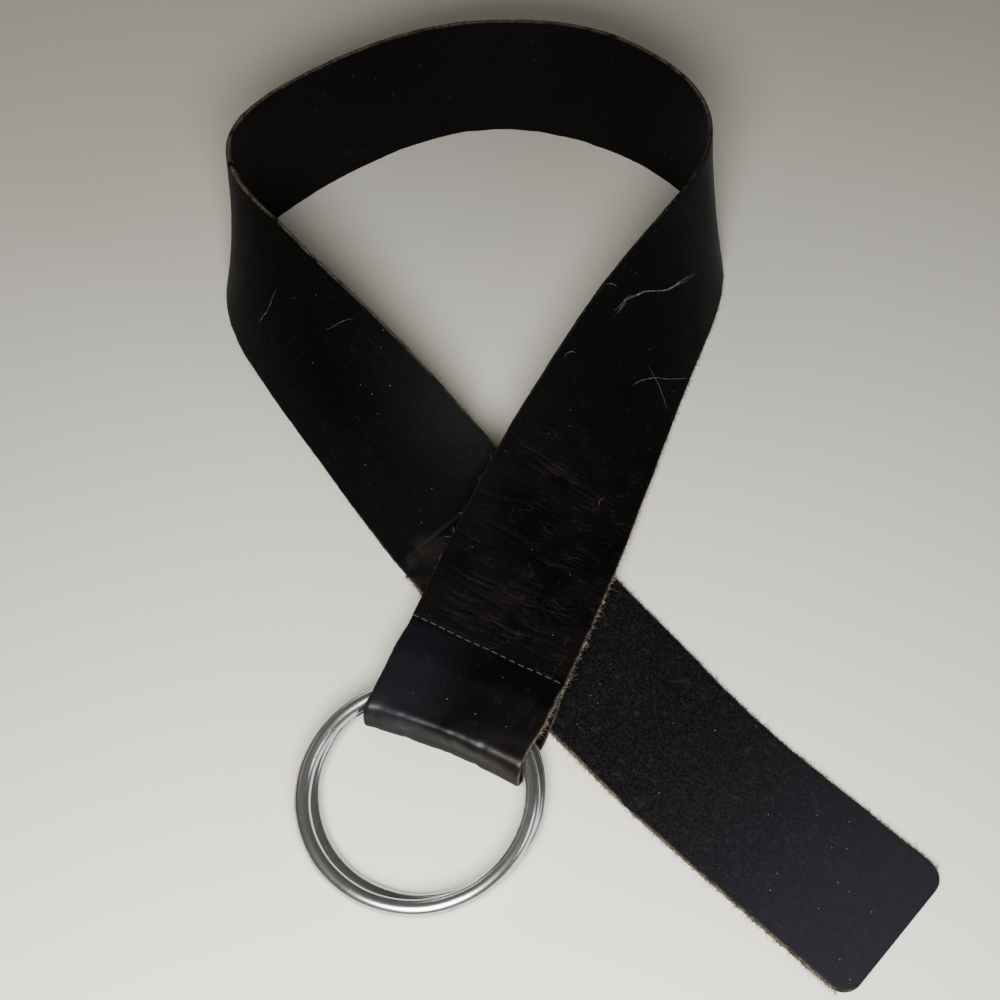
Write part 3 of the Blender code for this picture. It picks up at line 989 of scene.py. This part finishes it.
def scratch_group():
    """Short thin scratches in three directions: stretched cells cut off near their centres."""
    group, inside, out = new_group("short_scratches", *MASK_SOCKETS)
    total = None
    for turn, long, thin, shift in ((0.35, 90, 2600, 0.0), (1.25, 70, 2200, 3.1), (2.3, 120, 3000, 7.7)):
        bent = add(group, "ShaderNodeVectorMath", {0: inside["Vector"], 1: (shift, 0, 0)}).outputs[0]
        laid = stretched(group, bent, (long, thin, 60), turn)
        cell = add(group, "ShaderNodeTexVoronoi", {"Vector": laid, "Scale": 1.0})
        chosen = add(group, "ShaderNodeSeparateColor", {"Color": cell.outputs["Color"]}).outputs[0]
        limit = product(group, inside["Amount"], 0.28)
        near = between(group, maths(group, "SUBTRACT", limit, cell.outputs["Distance"]), 0.0, 0.08)
        mask = product(group, near, between(group, chosen, 0.72, 0.80))
        total = mask if total is None else maths(group, "MAXIMUM", total, mask)
    group.links.new(total, out["Mask"])
    return group


def dust_group():
    """Specks: the very middles of a few cells of a few millimetres."""
    group, inside, out = new_group("settled_dust", *MASK_SOCKETS)
    total = None
    for scale, size in ((420.0, 0.09), (170.0, 0.045)):
        cell = add(group, "ShaderNodeTexVoronoi", {"Vector": inside["Vector"], "Scale": scale})
        chosen = add(group, "ShaderNodeSeparateColor", {"Color": cell.outputs["Color"]}).outputs[1]
        kept = maths(group, "LESS_THAN", chosen, product(group, inside["Amount"], 0.3))
        near = between(group, cell.outputs["Distance"], size, size * 0.4)
        mask = product(group, near, kept)
        total = mask if total is None else maths(group, "MAXIMUM", total, mask)
    group.links.new(total, out["Mask"])
    return group


HIDE_GRAIN = hide_grain_group()
SCRATCHES = scratch_group()
DUST = dust_group()


def new_material(name):
    """An empty material with its shader."""
    material = bpy.data.materials.new(name)
    material.use_nodes = True
    return material, material.node_tree, material.node_tree.nodes["Principled BSDF"]


def set_inputs(shader, values):
    """Values that are the same all over the surface, on the shader's own sockets."""
    for name, value in values.items():
        shader.inputs[name].default_value = value


def strap_leather_material():
    """Black-brown leather: smooth grain, napped tail, creases, scuffs and raw cut edges, with painted sheen
    and a painted highlight along the cross crease.
    """
    material, tree, shader = new_material("strap_leather_worn")
    lay = vector_at(tree, "lay")
    names = ("nap", "edge", "outer", "warm_tone_and_sheen", "painted_sheen", "streak", "scuffed", "crinkled", "polished")
    nap, edge, outer, warm_tone_and_sheen, painted_sheen, streak, scuffed, crinkled, polished = [
        value_at(tree, name) for name in names]
    grain = use_group(tree, HIDE_GRAIN, {"Vector": lay, "Scale": 1500.0})
    scratches = use_group(tree, SCRATCHES, {"Vector": lay, "Amount": 0.55})["Mask"]
    dust = use_group(tree, DUST, {"Vector": lay, "Amount": 0.5})["Mask"]
    cloud = noise(tree, lay, 38.0, 4.0, 0.6)
    blotch = noise(tree, lay, 140.0, 3.0, 0.55)

    # fine wrinkles across the strap: thin borders of long cells
    sway = add(tree, "ShaderNodeTexNoise", {"Vector": lay, "Scale": 260.0, "Detail": 2.0})
    sway = add(tree, "ShaderNodeVectorMath", {0: sway.outputs["Color"], "Scale": 0.0022},
               operation="SCALE")
    waved = add(tree, "ShaderNodeVectorMath", {0: lay, 1: sway.outputs[0]}, operation="ADD")
    long_cells = stretched(tree, waved.outputs[0], (620, 120, 100), 0.08)
    border = add(tree, "ShaderNodeTexVoronoi", {"Vector": long_cells, "Scale": 1.0},
                 feature="DISTANCE_TO_EDGE").outputs["Distance"]
    wrinkle = product(tree, between(tree, border, 0.060, 0.0),
                      between(tree, blotch, 0.42, 0.66), crinkled)
    # Streaks of the short creases, with the painted highlight along the cross crease
    streak_and_highlight = product(tree, streak, between(tree, blotch, 0.36, 0.62), 0.6)
    lines = maths(tree, "MAXIMUM", wrinkle, streak_and_highlight)

    # colours of the smooth face, with painted sheen and a painted crease highlight
    smooth = tint(tree, between(tree, cloud, 0.35, 0.70), "deep_black", "soft_black")
    # Warm brown tone, with a painted brown satin sheen on the standing arm
    warm_and_sheen_here = product(tree, warm_tone_and_sheen, between(tree, cloud, 0.32, 0.62))
    smooth = tint(tree, warm_and_sheen_here, smooth, "warm_brown_and_sheen")
    # Painted blue-grey sheen
    smooth = tint(tree, product(tree, painted_sheen, 0.8), smooth, "painted_blue_sheen")
    # Cracked finish in the crease lines, and a painted highlight along the cross crease
    smooth = tint(tree, product(tree, lines, 0.75), smooth, "cracked_brown_and_highlight")
    scuff_here = product(tree, scuffed, between(tree, blotch, 0.35, 0.65))
    smooth = tint(tree, scuff_here, smooth, "scuffed_pink")

    # colours of the napped tail, with a painted blue-grey sheen that grows towards the free end
    fleck = noise(tree, lay, 1300.0, 3.0, 0.7)
    fleck_wide = noise(tree, lay, 420.0, 3.0, 0.6)
    napped = tint(tree, between(tree, fleck, 0.38, 0.66), "deep_black", "nap_violet")
    napped = tint(tree, between(tree, fleck_wide, 0.55, 0.72), napped, "nap_olive")
    # Painted blue-grey sheen on the nap, brightest towards the free end
    napped = tint(tree, product(tree, painted_sheen, 0.75), napped, "painted_nap_sheen")

    # the inner face and the raw edge
    inner = tint(tree, cloud, "inner_dark", "inner_light")
    fuzz = noise(tree, stretched(tree, lay, (1.0, 1.0, 2.2)), 1500.0, 3.0, 0.75)
    raw = tint(tree, between(tree, fuzz, 0.35, 0.68), "raw_dark", "raw_tan")
    colour = tint(tree, outer, inner, tint(tree, nap, smooth, napped))
    edge_here = product(tree, value_at(tree, "raw_edge"), between(tree, blotch, 0.30, 0.55))
    colour = tint(tree, edge_here, colour, raw)
    colour = tint(tree, product(tree, scratches, 0.6), colour, "scratch")
    colour = tint(tree, product(tree, dust, 0.8), colour, "dust")
    tree.links.new(colour, shader.inputs["Base Color"])

    # gloss
    rough = maths(tree, "MULTIPLY_ADD", cloud, 0.22, 0.42)
    rough = maths(tree, "MULTIPLY_ADD", grain["Tone"], 0.06, rough)
    for mask, value in ((nap, 0.80), (edge, 0.92), (scuffed, 0.66), (polished, 0.30)):
        rough = add(tree, "ShaderNodeMix", {0: mask, 2: rough, 3: value}).outputs[0]
    tree.links.new(rough, shader.inputs["Roughness"])
    uneven = maths(tree, "MULTIPLY_ADD", between(tree, blotch, 0.25, 0.70), 0.28, 0.14)
    tree.links.new(product(tree, polished, uneven), shader.inputs["Coat Weight"])
    set_inputs(shader, {"Coat Roughness": 0.42, "Specular IOR Level": 0.07, "Sheen Weight": 0.01,
                        "Sheen Roughness": 0.45, "Sheen Tint": COLOURS["cool_sheen"]})

    # relief
    height = product(tree, grain["Height"], maths(tree, "MULTIPLY_ADD", nap, -0.7, 1.0))
    furry = maths(tree, "ADD", fleck, product(tree, fleck_wide, 1.4))
    furry = product(tree, furry, 1.6)
    height = maths(tree, "MULTIPLY_ADD", furry, nap, height)
    height = maths(tree, "MULTIPLY_ADD", lines, -1.1, height)
    height = maths(tree, "MULTIPLY_ADD", scratches, -0.5, height)
    height = maths(tree, "MULTIPLY_ADD", product(tree, fuzz, edge), 3.0, height)
    relief = add(tree, "ShaderNodeBump", {"Height": height, "Strength": 0.55, "Distance": 0.00011})
    tree.links.new(relief.outputs[0], shader.inputs["Normal"])
    return material


def fibrous_material(name, grain, limits, tones, rough):
    """A matt material of two colours, mixed by a fine noise between two limits."""
    material, tree, shader = new_material(name)
    place = add(tree, "ShaderNodeTexCoord").outputs["Object"]
    strands = noise(tree, place, *grain)
    colour = tint(tree, between(tree, strands, *limits), *tones)
    tree.links.new(colour, shader.inputs["Base Color"])
    set_inputs(shader, {"Roughness": rough})
    return material, tree, shader, strands


def thread_material():
    """Worn grey-brown thread with a faint twist."""
    material, tree, shader, strands = fibrous_material(
        "seam_thread", (2600.0, 2.0, 0.6), (0.3, 0.7), ("thread_dark", "thread_light"), 0.8)
    relief = add(tree, "ShaderNodeBump", {"Height": strands, "Strength": 0.4, "Distance": 0.0001})
    tree.links.new(relief.outputs[0], shader.inputs["Normal"])
    return material


def fibre_material():
    """Leather fibres, from dark brown to tan."""
    return fibrous_material(
        "leather_fibre", (700.0, 1.0, 0.5), (0.35, 0.65), ("raw_dark", "fibre_tan"), 0.85)[0]


def lint_material():
    """Pale pinkish lint and hair."""
    return fibrous_material(
        "pale_lint", (500.0, 1.0, 0.5), (0.35, 0.65), ("lint_brown", "lint_pale"), 0.7)[0]


def ring_material():
    """Nickel-plated steel, dulled by fine scratches along the wire, with a little tarnish."""
    material, tree, shader = new_material("ring_nickel")
    lay = vector_at(tree, "lay")
    place = add(tree, "ShaderNodeTexCoord").outputs["Object"]
    fine = noise(tree, stretched(tree, lay, (60, 2600, 1)), 1.0, 3.0, 0.6)
    cloudy = noise(tree, place, 120.0, 4.0, 0.6)
    scratches = use_group(tree, SCRATCHES, {"Vector": lay, "Amount": 0.6})["Mask"]
    dust = use_group(tree, DUST, {"Vector": place, "Amount": 0.35})["Mask"]
    colour = tint(tree, between(tree, cloudy, 0.40, 0.70), "nickel", "nickel_dull")
    stain = between(tree, noise(tree, place, 310.0, 3.0, 0.7), 0.66, 0.74)
    colour = tint(tree, product(tree, stain, 0.7), colour, "tarnish")
    tree.links.new(colour, shader.inputs["Base Color"])
    set_inputs(shader, {"Metallic": 0.96})
    rough = maths(tree, "MULTIPLY_ADD", cloudy, 0.18, 0.14)
    rough = maths(tree, "MULTIPLY_ADD", stain, 0.2, rough)
    tree.links.new(rough, shader.inputs["Roughness"])
    height = maths(tree, "MULTIPLY_ADD", scratches, -0.8, fine)
    height = maths(tree, "MULTIPLY_ADD", dust, 1.0, height)
    relief = add(tree, "ShaderNodeBump", {"Height": height, "Strength": 0.18, "Distance": 0.00004})
    tree.links.new(relief.outputs[0], shader.inputs["Normal"])
    return material


def floor_material():
    """Plain pale surface with a soft gloss."""
    material, _, shader = new_material("pale_floor")
    set_inputs(shader, {"Base Color": COLOURS["pale_floor"], "Roughness": 0.45,
                        "Specular IOR Level": 0.3})
    return material


# Stage

def make_floor():
    """A wide flat square under the belt, its corners from two spans."""
    span = np.array([-FLOOR_REACH, FLOOR_REACH])
    x, y = np.meshgrid(span, span, indexing="ij")
    points = np.stack([x, y, np.full((2, 2), FLOOR_LEVEL)], axis=-1).reshape(-1, 3)
    floor = make_mesh("floor", points, [[0, 2, 3, 1]], floor_material(), smooth=False)


def soft_light(name, place, aim, size, power, colour):
    """A round area light that looks at a point."""
    lamp = bpy.data.lights.new(name, "AREA")
    lamp.shape = "DISK"
    lamp.size = size
    lamp.energy = power
    lamp.color = colour
    light = bpy.data.objects.new(name, lamp)
    light.location = place
    way = np.array(aim, dtype=float) - np.array(place, dtype=float)
    way /= np.linalg.norm(way)
    tilt = math.acos(-way[2])
    light.rotation_euler = (tilt, 0, math.atan2(-way[0], way[1]))
    light.visible_camera = False
    bpy.context.collection.objects.link(light)


def make_lights():
    """The lamps of the table and a dim room."""
    for lamp in LAMPS:
        soft_light(*lamp)
    world = bpy.data.worlds.new("room")
    world.use_nodes = True
    back = world.node_tree.nodes["Background"]
    back.inputs["Color"].default_value = COLOURS["room"]
    back.inputs["Strength"].default_value = ROOM_LIGHT
    bpy.context.scene.world = world


def make_camera():
    """The photograph's view: a long lens, 55.12 degrees down, placed from the strap's free end."""
    lens = bpy.data.cameras.new("view")
    lens.sensor_width = SENSOR_WIDTH
    lens.lens = SENSOR_WIDTH * FOCAL_LENGTH / FRAME_WIDTH
    lens.clip_start = 0.01
    camera = bpy.data.objects.new("view", lens)
    camera.location = PLACE + np.array(CAMERA_FROM_TIP)
    camera.rotation_euler = (math.radians(90 - CAMERA_DOWN), 0, 0)
    bpy.context.collection.objects.link(camera)
    bpy.context.scene.camera = camera


def main():
    """Builds every piece, then the stage."""
    make_camera()
    leather = strap_leather_material()
    strap = strap_body(leather)
    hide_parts("strap")
    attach(strap, "strap")
    small = (stitches(thread_material()), edge_fibres(fibre_material()), loose_strands(lint_material()))
    for piece in small:
        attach(piece, "strap")
    steel = ring_material()
    joints = {joint["child"]: joint for joint in frame["record"]["behaviour"]["joints"]}
    ring_body("ring_lower_wire", "ring_lower", joints["ring_lower"], steel, 1.0)
    ring_body("ring_upper_wire", "ring_upper", joints["ring_upper"], steel, 4.0)
    make_floor()
    make_lights()


main()
